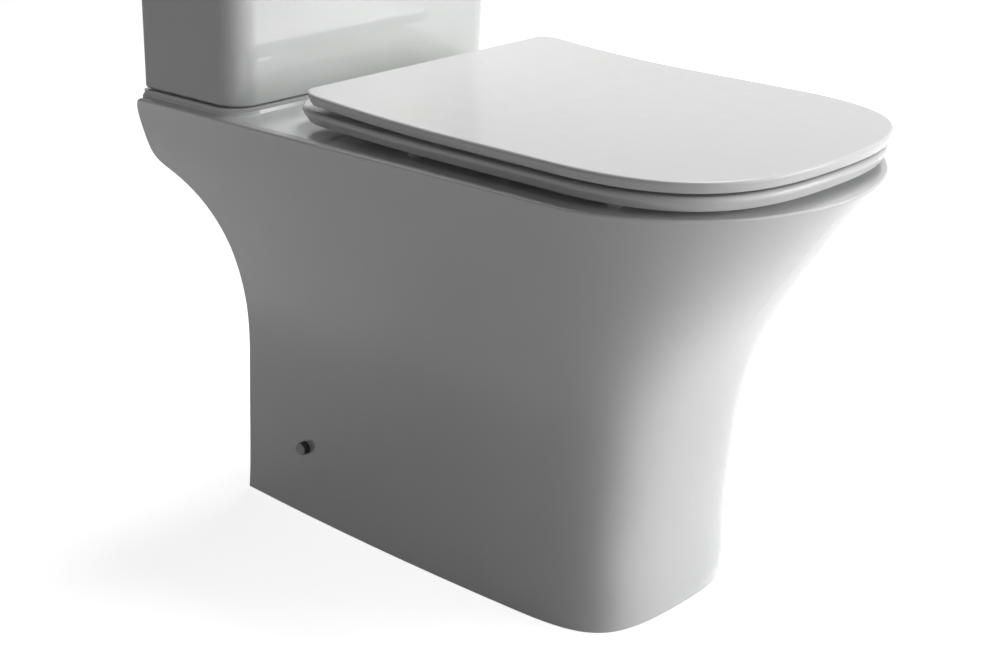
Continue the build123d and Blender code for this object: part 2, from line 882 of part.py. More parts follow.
def hinge_post(side):
    low = deck_z + base_plate_thickness
    half = post_width / 2
    x = side * post_x
    body = block(x - half, x + half, hinge_y - post_half_depth, hinge_y + post_half_depth, low, hinge_z)
    body += rod_x_wise(post_half_depth, x - half, x + half, hinge_y, hinge_z)
    body -= rod_x_wise(hinge_pin_radius + pin_fixed_clearance, x - half - 1, x + half + 1, hinge_y, hinge_z)
    pocket_radius = hinge_bolt_head_radius + hinge_screw_pocket_gap
    pocket_top = low + hinge_bolt_head_height + hinge_screw_pocket_gap
    return body - drum(pocket_radius, low - 1, pocket_top, x, hinge_y)


def hinge_damper(side):
    """Soft-close cartridge that is also the hinge pin of its side."""
    reach = post_width / 2 + hinge_side_gap + knuckle_length
    x = side * post_x
    return rod_x_wise(hinge_pin_radius, x - reach, x + reach, hinge_y, hinge_z)


def hinge_base_plates():
    plate = tube(
        base_plate_radius,
        hinge_bolt_radius + fit_clearance,
        deck_z,
        deck_z + base_plate_thickness,
        post_x,
        hinge_y,
    )
    return both_sides(plate)


def seat_fixing_bolts():
    seat_z = deck_z + base_plate_thickness
    bolt = drum(hinge_bolt_head_radius, seat_z, seat_z + hinge_bolt_head_height, post_x, hinge_y)
    bolt += drum(hinge_bolt_radius, seat_z - hinge_bolt_length, seat_z, post_x, hinge_y)
    return both_sides(bolt)


def seat_fixing_sleeves():
    sleeve = tube(
        hinge_hole_radius - sleeve_clearance,
        hinge_bolt_radius + fit_clearance,
        deck_z - hinge_sleeve_length,
        deck_z,
        post_x,
        hinge_y,
    )
    return both_sides(sleeve)


def screw_caps():
    y, z = at_wall(side_fixing_from_wall), side_fixing_height
    start = spot_face_half_width
    cap = rod_x_wise(cap_radius, start, start + cap_height, y, z)
    rim = cap.edges().sort_by(Axis.X)[-1]
    cap = fillet(rim, cap_wall)
    cap -= rod_x_wise(cap_radius - cap_wall, start - 1, start + cap_height - cap_wall, y, z)
    return both_sides(cap)


def side_screws():
    y, z = at_wall(side_fixing_from_wall), side_fixing_height
    start = spot_face_half_width
    screw = rod_x_wise(side_screw_head_radius, start + sleeve_wall, start + sleeve_wall + side_screw_head_height, y, z)
    screw += rod_x_wise(side_screw_radius, start + sleeve_wall - side_screw_length, start + sleeve_wall, y, z)
    return both_sides(screw)


def side_screw_sleeves():
    y, z = at_wall(side_fixing_from_wall), side_fixing_height
    start = spot_face_half_width
    outer = side_fixing_hole_radius - sleeve_clearance
    flange_radius = cap_radius - cap_wall - sleeve_clearance
    sleeve = rod_x_wise(outer, start - skirt_wall, start, y, z)
    sleeve += rod_x_wise(flange_radius, start, start + sleeve_wall, y, z)
    sleeve -= rod_x_wise(side_screw_radius + fit_clearance, start - skirt_wall - 1, start + sleeve_wall + 1, y, z)
    return both_sides(sleeve)


def floor_brackets():
    y, z = at_wall(side_fixing_from_wall), side_fixing_height
    half = bracket_width / 2
    outer_x = spot_face_half_width - skirt_wall - bracket_wall_gap - bracket_thickness
    upright = block(outer_x - bracket_block, outer_x, y - half, y + half, 0, bracket_height)
    foot = block(outer_x - bracket_foot, outer_x, y - half, y + half, 0, bracket_thickness)
    body = upright + foot
    body -= rod_x_wise(side_screw_radius + fit_clearance, outer_x - bracket_block - 1, outer_x + 1, y, z)
    slot_x = outer_x - bracket_block - (bracket_foot - bracket_block) / 2
    body -= drum(side_fixing_hole_radius, -1, bracket_thickness + 1, slot_x, y)
    return both_sides(body)


def coupling_x():
    return coupling_spacing / 2


def cistern_bolts():
    head_z = cistern_inner_z + cone_height
    tail_z = deck_bottom_z - coupling_washer_thickness - wing_nut_height - coupling_bolt_tail
    bolt = drum(coupling_bolt_head_radius, head_z, head_z + coupling_bolt_head_height, coupling_x(), valve_y)
    bolt += drum(coupling_bolt_radius, tail_z, head_z, coupling_x(), valve_y)
    return both_sides(bolt)


def cistern_bolt_cones():
    """Rubber cones that seal the bolt heads inside the cistern."""
    x = coupling_x()
    cone = Pos(x, valve_y, cistern_inner_z + cone_height / 2) * Cone(
        cone_radius, coupling_bolt_head_radius, cone_height
    )
    cone += drum(coupling_hole_radius - sleeve_clearance, cistern_z, cistern_inner_z, x, valve_y)
    cone -= drum(coupling_bolt_radius + fit_clearance, cistern_z - 1, cistern_inner_z + cone_height + 1, x, valve_y)
    return both_sides(cone)


def cistern_bolt_washers():
    washer = tube(
        coupling_washer_radius,
        coupling_bolt_radius + fit_clearance,
        deck_bottom_z - coupling_washer_thickness,
        deck_bottom_z,
        coupling_x(),
        valve_y,
    )
    return both_sides(washer)


def cistern_wing_nuts():
    x = coupling_x()
    top = deck_bottom_z - coupling_washer_thickness
    nut = drum(wing_nut_radius, top - wing_nut_height, top, x, valve_y)
    nut += block(
        x - wing_thickness / 2,
        x + wing_thickness / 2,
        valve_y - wing_span / 2,
        valve_y + wing_span / 2,
        top - wing_nut_height,
        top - wing_nut_height / 3,
    )
    nut -= drum(coupling_bolt_radius + fit_clearance, top - wing_nut_height - 1, top + 1, x, valve_y)
    return both_sides(nut)


def doughnut_washer():
    """Soft ring round the back nut that seals the cistern to the pan's inlet."""
    top = cistern_z
    low = inlet_floor_z
    outer = inlet_recess_radius - doughnut_clearance
    nut_low = cistern_z - valve_nut_height
    ring = tube(outer, valve_nut_radius + fit_clearance, nut_low, top, 0, valve_y)
    return ring + tube(outer, valve_tail_radius + fit_clearance, low, nut_low, 0, valve_y)


def flush_valve_backnut():
    low = cistern_z - valve_nut_height
    return tube(valve_nut_radius, valve_tail_radius + fit_clearance, low, cistern_z, 0, valve_y)


def flush_valve_gasket():
    top = cistern_inner_z + gasket_thickness
    return tube(
        valve_flange_radius - 1, valve_tail_radius + fit_clearance, cistern_inner_z, top, 0, valve_y
    )


def flange_z():
    """Underside of the flush valve's flange."""
    return cistern_inner_z + gasket_thickness


def flush_valve_base():
    low = flange_z()
    top = low + valve_flange_thickness
    body = drum(valve_flange_radius, low, top, 0, valve_y)
    body += drum(valve_tail_radius, cistern_z - valve_tail_length, low, 0, valve_y)
    seat_radius = valve_tail_bore + valve_seat_wall
    body += drum(seat_radius, top, top + valve_seat_height, 0, valve_y)
    return body - drum(
        valve_tail_bore, cistern_z - valve_tail_length - 1, top + valve_seat_height + 1, 0, valve_y
    )


def cage_low():
    return flange_z() + valve_flange_thickness


def cage_cap_top():
    return cage_low() + cage_height


def flush_valve_cage():
    low = cage_low()
    top = cage_cap_top()
    body = tube(cage_radius, cage_radius - cage_wall, low, top, 0, valve_y)
    body += drum(cage_radius, top - cage_cap_thickness, top, 0, valve_y)
    reach = cage_radius + 1
    gap = reach - cage_leg_width / 2
    window_low = low + cage_ring_height
    window_high = window_low + cage_window_height
    for sx in (-1, 1):
        for sy in (-1, 1):
            x_centre = sx * (cage_leg_width / 2 + gap / 2)
            y_centre = valve_y + sy * (cage_leg_width / 2 + gap / 2)
            window = block(
                x_centre - gap / 2,
                x_centre + gap / 2,
                y_centre - gap / 2,
                y_centre + gap / 2,
                window_low,
                window_high,
            )
            body -= window
    body -= drum(riser_radius + riser_guide_clearance, low, top + 1, 0, valve_y)
    slot = slider_clearance
    slider_y = valve_y + rod_y
    body -= block(
        rod_x - slider_half_x - slot,
        rod_x + slider_half_x + slot,
        slider_y - slider_half_y - slot,
        slider_y + slider_half_y + slot,
        top - cage_cap_thickness - 1,
        top + 1,
    )
    pivot_z = top + rocker_pivot_above_cap
    ear_inner = rocker_arm_inside + rocker_arm_width + ear_gap
    for side in (-1, 1):
        y_a = valve_y + side * ear_inner
        y_b = valve_y + side * (ear_inner + ear_width)
        ear = block(
            rocker_pivot_x - ear_half_length,
            rocker_pivot_x + ear_half_length,
            min(y_a, y_b),
            max(y_a, y_b),
            top - 1,
            pivot_z,
        )
        ear += rod_y_wise(ear_half_length, min(y_a, y_b), max(y_a, y_b), rocker_pivot_x, pivot_z)
        ear -= rod_y_wise(
            rocker_pin_radius + pin_fixed_clearance, min(y_a, y_b) - 1, max(y_a, y_b) + 1, rocker_pivot_x, pivot_z
        )
        body += ear
    return body


def rocker_pivot_z():
    return cage_cap_top() + rocker_pivot_above_cap


def flush_rocker():
    """Lever that turns the push of the full flush rod into the lift of the riser."""
    z_low = rocker_pivot_z() - rocker_half_height
    z_high = rocker_pivot_z() + rocker_half_height
    x_low = rocker_pivot_x - rocker_lift_reach
    x_high = rocker_pivot_x + rocker_push_reach
    outside = rocker_arm_inside + rocker_arm_width
    body = block(x_low, x_low + rocker_bar, valve_y - outside, valve_y + outside, z_low, z_high)
    for side in (-1, 1):
        y_a = valve_y + side * rocker_arm_inside
        y_b = valve_y + side * outside
        reach = x_high if side < 0 else rocker_pivot_x + ear_half_length
        body += block(x_low, reach, min(y_a, y_b), max(y_a, y_b), z_low, z_high)
        body -= rod_y_wise(
            rocker_pin_radius + pin_running_clearance,
            min(y_a, y_b) - 1,
            max(y_a, y_b) + 1,
            rocker_pivot_x,
            rocker_pivot_z(),
        )
    body += block(x_high - rocker_pad, x_high, valve_y - outside, valve_y - rocker_pad_inside, z_low, z_high)
    return body


def half_flush_slider():
    """Strip that the half flush rod pushes down through the cage's cap."""
    top = cage_cap_top() + slider_head_above_cap
    under_cap = cage_cap_top() - cage_cap_thickness - slider_clearance
    x, y = rod_x, valve_y + rod_y
    body = block(
        x - slider_half_x, x + slider_half_x, y - slider_half_y, y + slider_half_y, under_cap - slider_drop, top
    )
    body += block(
        x - slider_head_half,
        x + slider_head_half,
        y - slider_half_y,
        y + slider_half_y,
        top - slider_head_thickness,
        top,
    )
    return body + block(
        x - slider_half_x,
        x + slider_half_x + slider_shoulder,
        y - slider_half_y,
        y + slider_half_y,
        under_cap - slider_shoulder_height,
        under_cap,
    )


def rocker_pins():
    """Two stub pins, one in each ear of the cage."""
    parts = []
    outside = rocker_arm_inside + rocker_arm_width + ear_gap + ear_width
    for side in (-1, 1):
        y_a = valve_y + side * rocker_arm_inside
        y_b = valve_y + side * outside
        parts += rod_y_wise(rocker_pin_radius, min(y_a, y_b), max(y_a, y_b), rocker_pivot_x, rocker_pivot_z()).solids()
    return Compound(children=parts)


def seal_low():
    return cage_low() + valve_seat_height


def flush_seal():
    return tube(seal_radius, riser_radius + fit_clearance, seal_low(), seal_low() + seal_thickness, 0, valve_y)


def overflow_riser():
    """Overflow tube with the disc that carries the seal and the lug that the rocker lifts."""
    low = seal_low()
    top = low + riser_height
    carrier = low + seal_thickness
    body = drum(riser_radius, low, top, 0, valve_y)
    body += drum(seal_carrier_radius, carrier, carrier + seal_carrier_thickness, 0, valve_y)
    lug_z = rocker_pivot_z() + rocker_half_height + push_gap
    lug_x = rocker_pivot_x - rocker_lift_reach
    body += block(lug_x, 0, valve_y - lug_half_width, valve_y + lug_half_width, lug_z, lug_z + lug_thickness)
    return body - drum(riser_radius - riser_wall, low - 1, top + 1, 0, valve_y)


def housing_low():
    return cistern_lid_top_z + bezel_thickness - collar_length


def button_low():
    return cistern_lid_top_z + bezel_thickness - button_height


def button_housing():
    """Bezel on the lid, with the collar that holds the buttons and springs."""
    top = cistern_lid_top_z + bezel_thickness
    body = drum(bezel_radius, cistern_lid_top_z, top, 0, valve_y)
    outer_edge = body.edges().filter_by(GeomType.CIRCLE).group_by(Axis.Z)[-1]
    body = fillet(outer_edge, bezel_thickness * 0.6)
    body += drum(collar_radius, housing_low(), cistern_lid_top_z, 0, valve_y)
    bore = button_radius + button_clearance
    body -= drum(bore, housing_low() + housing_floor, top + 1, 0, valve_y)
    for side in (-1, 1):
        hole = rod_radius + rod_hole_clearance
        body -= drum(hole, housing_low() - 1, housing_low() + housing_floor + 1, rod_x, valve_y + side * rod_y)
    return body


def button_collar_nut():
    top = cistern_lid_top_z - cistern_lid_plate
    return tube(collar_nut_radius, collar_radius + fit_clearance, top - collar_nut_height, top, 0, valve_y)


def button_disc():
    low, top = button_low(), cistern_lid_top_z + bezel_thickness
    disc = drum(button_radius, low, top, 0, valve_y)
    return fillet(disc.edges().filter_by(GeomType.CIRCLE).group_by(Axis.Z)[-1], 1.0)


def full_flush_button():
    """The larger button, on the front side."""
    edge_y = valve_y + button_split_y - button_split_gap / 2
    keep = block(-bezel_radius, bezel_radius, valve_y - bezel_radius, edge_y, 0, 2 * cistern_lid_top_z)
    return button_disc() & keep


def half_flush_button():
    """The smaller button, on the wall side."""
    edge_y = valve_y + button_split_y + button_split_gap / 2
    keep = block(-bezel_radius, bezel_radius, edge_y, valve_y + bezel_radius, 0, 2 * cistern_lid_top_z)
    return button_disc() & keep


def full_push_rod():
    low = rocker_pivot_z() + rocker_half_height + push_gap
    return drum(rod_radius, low, button_low(), rod_x, valve_y - rod_y)


def half_push_rod():
    low = cage_cap_top() + slider_head_above_cap + push_gap
    return drum(rod_radius, low, button_low(), rod_x, valve_y + rod_y)


def button_spring(side):
    floor_z = housing_low() + housing_floor
    y = valve_y + side * spring_y
    return tube(spring_radius, spring_radius - spring_wall, floor_z, button_low(), spring_x, y)


def fill_valve_washer():
    top = cistern_inner_z + gasket_thickness
    return tube(fill_flange_radius - 1, fill_tail_radius + fit_clearance, cistern_inner_z, top, fill_x, fill_y)


def fill_valve_backnut():
    low = cistern_z - fill_nut_height
    nut = Pos(fill_x, fill_y, low) * extrude(RegularPolygon(fill_nut_radius, 6), fill_nut_height)
    return nut - drum(fill_tail_radius + fit_clearance, low - 1, cistern_z + 1, fill_x, fill_y)


def stem_top():
    return flange_z() + stem_height


def fill_valve_body():
    low = flange_z()
    flange_top = low + fill_flange_thickness
    body = drum(fill_flange_radius, low, flange_top, fill_x, fill_y)
    tail_low = cistern_z - fill_tail_length
    body += drum(fill_tail_radius, tail_low, low, fill_x, fill_y)
    body += drum(fill_inlet_radius, tail_low - fill_inlet_length, tail_low, fill_x, fill_y)
    body += drum(stem_radius, flange_top, stem_top(), fill_x, fill_y)
    stop_top = low + float_bottom - float_clearance
    body += drum(float_stop_radius, stop_top - float_stop_height, stop_top, fill_x, fill_y)
    head_top = stem_top() + fill_head_height
    body += drum(fill_head_radius, stem_top(), head_top, fill_x, fill_y)
    pivot_x = fill_x - arm_pivot_reach
    for side in (-1, 1):
        y_a = fill_y + side * (arm_half_width + ear_gap)
        y_b = y_a + side * arm_ear_width
        ear = block(
            pivot_x,
            fill_x - fill_head_radius / 2,
            min(y_a, y_b),
            max(y_a, y_b),
            arm_pivot_z() - arm_ear_half_length,
            arm_pivot_z() + arm_ear_half_length,
        )
        ear += rod_y_wise(arm_ear_half_length, min(y_a, y_b), max(y_a, y_b), pivot_x, arm_pivot_z())
        body += ear
        body -= rod_y_wise(
            arm_pin_radius + pin_fixed_clearance, min(y_a, y_b) - 1, max(y_a, y_b) + 1, pivot_x, arm_pivot_z()
        )
    return body - drum(fill_tail_bore, tail_low - fill_inlet_length - 1, stem_top() - 5, fill_x, fill_y)


def arm_pivot_z():
    return stem_top() + fill_head_height - arm_pivot_drop


def fill_valve_cap():
    low = stem_top() + fill_head_height
    cap = drum(fill_cap_radius, low, low + fill_cap_height, fill_x, fill_y)
    return fillet(cap.edges().filter_by(GeomType.CIRCLE).group_by(Axis.Z)[-1], 2.0)


def fill_valve_arm():
    pivot_x = fill_x - arm_pivot_reach
    z = arm_pivot_z()
    arm = block(
        pivot_x - arm_reach,
        pivot_x + arm_back,
        fill_y - arm_half_width,
        fill_y + arm_half_width,
        z - arm_half_height,
        z + arm_half_height,
    )
    return arm - rod_y_wise(
        arm_pin_radius + pin_running_clearance,
        fill_y - arm_half_width - 1,
        fill_y + arm_half_width + 1,
        pivot_x,
        z,
    )


def fill_valve_arm_pin():
    reach = arm_half_width + ear_gap + arm_ear_width
    return rod_y_wise(arm_pin_radius, fill_y - reach, fill_y + reach, fill_x - arm_pivot_reach, arm_pivot_z())


def fill_valve_float():
    low = flange_z() + float_bottom
    top = low + float_height
    body = drum(float_radius, low, top, fill_x, fill_y)
    inner = stem_radius + float_clearance
    body -= tube(float_radius - float_wall, inner + float_wall, low - 1, top - float_wall, fill_x, fill_y)
    post_x_at = fill_x - arm_pivot_reach - float_post_reach
    bracket_top = top - float_wall
    body += block(
        post_x_at - float_post_radius,
        fill_x - float_radius + float_wall,
        fill_y - float_post_radius,
        fill_y + float_post_radius,
        bracket_top - float_bracket_thickness,
        bracket_top,
    )
    post_top = arm_pivot_z() - arm_half_height - push_gap
    body += drum(float_post_radius, bracket_top - float_bracket_thickness, post_top, post_x_at, fill_y)
    return body - drum(inner, low - 1, top + 1, fill_x, fill_y)


nodes = {
    "pan": pan,
    "bowl_and_trap": bowl_and_trap,
    "cistern": cistern,
    "cistern_lid": cistern_lid,
    "seat": seat,
    "seat_lid": seat_lid,
    "seat_buffers": seat_buffers,
    "lid_buffers": lid_buffers,
    "hinge_post_left": lambda: hinge_post(-1),
    "hinge_post_right": lambda: hinge_post(1),
    "hinge_damper_left": lambda: hinge_damper(-1),
    "hinge_damper_right": lambda: hinge_damper(1),
    "hinge_base_plates": hinge_base_plates,
    "seat_fixing_bolts": seat_fixing_bolts,
    "seat_fixing_sleeves": seat_fixing_sleeves,
    "screw_caps": screw_caps,
    "side_screws": side_screws,
    "side_screw_sleeves": side_screw_sleeves,
    "floor_brackets": floor_brackets,
    "cistern_bolts": cistern_bolts,
    "cistern_bolt_cones": cistern_bolt_cones,
    "cistern_bolt_washers": cistern_bolt_washers,
    "cistern_wing_nuts": cistern_wing_nuts,
    "doughnut_washer": doughnut_washer,
    "flush_valve_backnut": flush_valve_backnut,
    "flush_valve_gasket": flush_valve_gasket,
    "flush_valve_base": flush_valve_base,
    "flush_valve_cage": flush_valve_cage,
    "flush_rocker": flush_rocker,
    "rocker_pins": rocker_pins,
    "half_flush_slider": half_flush_slider,
    "flush_seal": flush_seal,
    "overflow_riser": overflow_riser,
    "button_housing": button_housing,
    "button_collar_nut": button_collar_nut,
    "full_flush_button": full_flush_button,
    "half_flush_button": half_flush_button,
    "full_push_rod": full_push_rod,
    "half_push_rod": half_push_rod,
    "full_button_spring": lambda: button_spring(-1),
    "half_button_spring": lambda: button_spring(1),
    "fill_valve_washer": fill_valve_washer,
    "fill_valve_backnut": fill_valve_backnut,
    "fill_valve_body": fill_valve_body,
    "fill_valve_cap": fill_valve_cap,
    "fill_valve_arm": fill_valve_arm,
    "fill_valve_arm_pin": fill_valve_arm_pin,
    "fill_valve_float": fill_valve_float,
}

for node, make in nodes.items():
    save(make(), node)
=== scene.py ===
import bpy
import json
import math
from mathutils import Matrix, Vector

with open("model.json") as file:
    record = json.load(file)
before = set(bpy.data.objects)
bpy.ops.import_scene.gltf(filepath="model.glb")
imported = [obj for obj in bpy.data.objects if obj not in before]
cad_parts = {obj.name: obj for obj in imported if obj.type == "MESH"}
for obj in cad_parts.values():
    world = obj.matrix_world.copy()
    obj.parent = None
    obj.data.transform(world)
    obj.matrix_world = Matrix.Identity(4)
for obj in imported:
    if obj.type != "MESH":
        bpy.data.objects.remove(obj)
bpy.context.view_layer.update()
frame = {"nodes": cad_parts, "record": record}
nodes = frame["nodes"]
scene = bpy.context.scene
bpy.ops.object.select_all(action="DESELECT")
print("frame loaded:", len(nodes), "nodes")


# Shared effects as node groups

def newGroup(name, inputs, outputs):
    group = bpy.data.node_groups.new(name, "ShaderNodeTree")
    for label, kind, value in inputs:
        socket = group.interface.new_socket(label, in_out="INPUT", socket_type=kind)
        if value is not None:
            socket.default_value = value
    for label, kind in outputs:
        group.interface.new_socket(label, in_out="OUTPUT", socket_type=kind)
    return group, group.nodes.new("NodeGroupInput"), group.nodes.new("NodeGroupOutput")


def plug(tree, socket, value):
    # a socket takes either another node's output or a plain number or colour
    if hasattr(value, "is_output"):
        tree.links.new(value, socket)
    else:
        socket.default_value = value


def noise(tree, vector, scale, detail=2.0, rough=0.5):
    texture = tree.nodes.new("ShaderNodeTexNoise")
    plug(tree, texture.inputs["Scale"], scale)
    texture.inputs["Detail"].default_value = detail
    texture.inputs["Roughness"].default_value = rough
    tree.links.new(vector, texture.inputs["Vector"])
    return texture.outputs["Fac"]


def remap(tree, value, low, high, toLow, toHigh):
    ramp = tree.nodes.new("ShaderNodeMapRange")
    ramp.inputs["From Min"].default_value = low
    ramp.inputs["From Max"].default_value = high
    plug(tree, ramp.inputs["To Min"], toLow)
    plug(tree, ramp.inputs["To Max"], toHigh)
    tree.links.new(value, ramp.inputs["Value"])
    return ramp.outputs["Result"]


def blendColour(tree, share, first, second):
    mix = tree.nodes.new("ShaderNodeMix")
    mix.data_type = "RGBA"
    for label, value in (("Factor", share), ("A", first), ("B", second)):
        socket = [s for s in mix.inputs if s.name == label and s.enabled][0]
        plug(tree, socket, value)
    return [s for s in mix.outputs if s.enabled][0]


skinOutputs = [
    ("Colour", "NodeSocketColor"),
    ("Roughness", "NodeSocketFloat"),
    ("Height", "NodeSocketFloat"),
]

# Fired glaze: colour that pools a little, tiny pin specks, wiped patches, a slow ripple
glazeDetail = {
    "poolDetail": 3.0,
    "poolRange": (0.35, 0.7),
    "speckEdge": (0.05, 0.11),  # a speck is full inside the first, gone beyond the second
    "speckShare": 0.12,
    "wiped": {"scale": 22.0, "detail": 4.0},
    "wipedRange": (0.3, 0.75),
    "rippleDetail": 1.0,
}


def makeGlazeSkin():
    group, start, end = newGroup(
        "glazeSkin",
        [("Vector", "NodeSocketVector", None),
         ("Body", "NodeSocketColor", (0.8, 0.8, 0.8, 1)),
         ("Pooled", "NodeSocketColor", (0.77, 0.77, 0.77, 1)),
         ("Speck", "NodeSocketColor", (0.6, 0.6, 0.6, 1)),
         ("Pool Scale", "NodeSocketFloat", 5.0),
         ("Speck Scale", "NodeSocketFloat", 420.0),
         ("Ripple Scale", "NodeSocketFloat", 30.0),
         ("Gloss", "NodeSocketFloat", 0.06),
         ("Dull", "NodeSocketFloat", 0.12)],
        skinOutputs)
    vector = start.outputs["Vector"]
    pools = noise(group, vector, start.outputs["Pool Scale"], glazeDetail["poolDetail"])
    pool = remap(group, pools, *glazeDetail["poolRange"], 0.0, 1.0)
    colour = blendColour(group, pool, start.outputs["Body"], start.outputs["Pooled"])
    specks = group.nodes.new("ShaderNodeTexVoronoi")
    group.links.new(start.outputs["Speck Scale"], specks.inputs["Scale"])
    group.links.new(vector, specks.inputs["Vector"])
    full, gone = glazeDetail["speckEdge"]
    speckMask = remap(group, specks.outputs["Distance"], full, gone, glazeDetail["speckShare"], 0.0)
    colour = blendColour(group, speckMask, colour, start.outputs["Speck"])
    wiped = noise(group, vector, **glazeDetail["wiped"])
    rough = remap(group, wiped, *glazeDetail["wipedRange"], start.outputs["Gloss"], start.outputs["Dull"])
    ripple = noise(group, vector, start.outputs["Ripple Scale"], glazeDetail["rippleDetail"])
    group.links.new(colour, end.inputs["Colour"])
    group.links.new(rough, end.inputs["Roughness"])
    group.links.new(ripple, end.inputs["Height"])
    return group


# Moulded plastic and rubber: faint flow marks, fine grain, handling marks
mouldedDetail = {
    "flowDetail": 3.0,
    "flowRange": (0.3, 0.7),
    "handling": {"scale": 60.0, "detail": 5.0, "rough": 0.6},
    "handlingRange": (0.35, 0.7),
}


def makeMouldedSkin():
    group, start, end = newGroup(
        "mouldedSkin",
        [("Vector", "NodeSocketVector", None),
         ("Body", "NodeSocketColor", (0.8, 0.8, 0.8, 1)),
         ("Shade", "NodeSocketColor", (0.75, 0.75, 0.75, 1)),
         ("Flow Scale", "NodeSocketFloat", 9.0),
         ("Grain Scale", "NodeSocketFloat", 900.0),
         ("Smooth", "NodeSocketFloat", 0.25),
         ("Rough", "NodeSocketFloat", 0.35)],
        skinOutputs)
    vector = start.outputs["Vector"]
    flows = noise(group, vector, start.outputs["Flow Scale"], mouldedDetail["flowDetail"])
    flow = remap(group, flows, *mouldedDetail["flowRange"], 0.0, 1.0)
    colour = blendColour(group, flow, start.outputs["Body"], start.outputs["Shade"])
    handling = noise(group, vector, **mouldedDetail["handling"])
    rough = remap(group, handling, *mouldedDetail["handlingRange"],
                  start.outputs["Smooth"], start.outputs["Rough"])
    grain = noise(group, vector, start.outputs["Grain Scale"])
    group.links.new(colour, end.inputs["Colour"])
    group.links.new(rough, end.inputs["Roughness"])
    group.links.new(grain, end.inputs["Height"])
    return group


# Drawn or turned metal: fine lines, dull patches, a little tarnish
metalDetail = {
    "patches": {"scale": 55.0, "detail": 4.0, "rough": 0.55},
    "patchRange": (0.45, 0.8),
    "lineStretch": (1.0, 1.0, 12.0),  # lines run round an upright piece
    "lineDetail": 3.0,
    "lineRange": (0.3, 0.7),
}


def makeMetalSkin():
    group, start, end = newGroup(
        "metalSkin",
        [("Vector", "NodeSocketVector", None),
         ("Body", "NodeSocketColor", (0.8, 0.8, 0.8, 1)),
         ("Tarnish", "NodeSocketColor", (0.5, 0.48, 0.45, 1)),
         ("Tarnish Share", "NodeSocketFloat", 0.3),
         ("Line Scale", "NodeSocketFloat", 300.0),
         ("Bright", "NodeSocketFloat", 0.08),
         ("Dull", "NodeSocketFloat", 0.2)],
        skinOutputs)
    vector = start.outputs["Vector"]
    patches = noise(group, vector, **metalDetail["patches"])
    tarnish = remap(group, patches, *metalDetail["patchRange"], 0.0, start.outputs["Tarnish Share"])
    colour = blendColour(group, tarnish, start.outputs["Body"], start.outputs["Tarnish"])
    stretch = group.nodes.new("ShaderNodeMapping")
    stretch.inputs["Scale"].default_value = metalDetail["lineStretch"]
    group.links.new(vector, stretch.inputs["Vector"])
    lines = noise(group, stretch.outputs["Vector"], start.outputs["Line Scale"], metalDetail["lineDetail"])
    rough = remap(group, lines, *metalDetail["lineRange"], start.outputs["Bright"], start.outputs["Dull"])
    group.links.new(colour, end.inputs["Colour"])
    group.links.new(rough, end.inputs["Roughness"])
    group.links.new(lines, end.inputs["Height"])
    return group


glazeSkin = makeGlazeSkin()
mouldedSkin = makeMouldedSkin()
metalSkin = makeMetalSkin()
print("effect groups made")


def makeFinish(name, look):
    material = bpy.data.materials.new(name)
    material.use_nodes = True
    tree = material.node_tree
    shader = tree.nodes["Principled BSDF"]
    place = tree.nodes.new("ShaderNodeTexCoord")
    effect = tree.nodes.new("ShaderNodeGroup")
    effect.node_tree = look["skin"]
    for label, value in look["effect"].items():
        effect.inputs[label].default_value = value
    tree.links.new(place.outputs["Object"], effect.inputs["Vector"])
    tree.links.new(effect.outputs["Colour"], shader.inputs["Base Color"])
    tree.links.new(effect.outputs["Roughness"], shader.inputs["Roughness"])
    bump = tree.nodes.new("ShaderNodeBump")
    bump.inputs["Strength"].default_value = look["bump"][0]
    bump.inputs["Distance"].default_value = look["bump"][1]
    tree.links.new(effect.outputs["Height"], bump.inputs["Height"])
    tree.links.new(bump.outputs["Normal"], shader.inputs["Normal"])
    for label, value in look["shader"].items():
        shader.inputs[label].default_value = value
    return material


# Finishes. Bump is its strength, and its depth in metres.

castGlaze = makeFinish("castGlaze", {
    "skin": glazeSkin,
    "effect": {"Body": (0.79, 0.80, 0.79, 1), "Pooled": (0.76, 0.775, 0.765, 1),
               "Speck": (0.62, 0.61, 0.58, 1), "Pool Scale": 5.0, "Ripple Scale": 30.0, "Gloss": 0.06,
               "Dull": 0.12},
    "shader": {"IOR": 1.52},
    "bump": (0.25, 0.0004),
})
seatGloss = makeFinish("seatGloss", {
    "skin": mouldedSkin,
    "effect": {"Body": (0.80, 0.80, 0.80, 1), "Shade": (0.78, 0.78, 0.775, 1), "Flow Scale": 5.0,
               "Grain Scale": 500.0, "Smooth": 0.16, "Rough": 0.24},
    "shader": {"IOR": 1.5},
    "bump": (0.05, 0.0001),
})
whiteMoulding = makeFinish("whiteMoulding", {
    "skin": mouldedSkin,
    "effect": {"Body": (0.72, 0.72, 0.70, 1), "Shade": (0.66, 0.66, 0.63, 1), "Flow Scale": 25.0,
               "Smooth": 0.35, "Rough": 0.5},
    "shader": {"IOR": 1.48},
    "bump": (0.15, 0.0002),
})
greyMoulding = makeFinish("greyMoulding", {
    "skin": mouldedSkin,
    "effect": {"Body": (0.20, 0.21, 0.22, 1), "Shade": (0.16, 0.17, 0.18, 1), "Flow Scale": 25.0,
               "Smooth": 0.38, "Rough": 0.55},
    "shader": {"IOR": 1.48},
    "bump": (0.15, 0.0002),
})
blackRubber = makeFinish("blackRubber", {
    "skin": mouldedSkin,
    "effect": {"Body": (0.018, 0.018, 0.019, 1), "Shade": (0.045, 0.044, 0.042, 1), "Flow Scale": 60.0,
               "Smooth": 0.55, "Rough": 0.8},
    "shader": {"IOR": 1.5},
    "bump": (0.3, 0.0003),
})
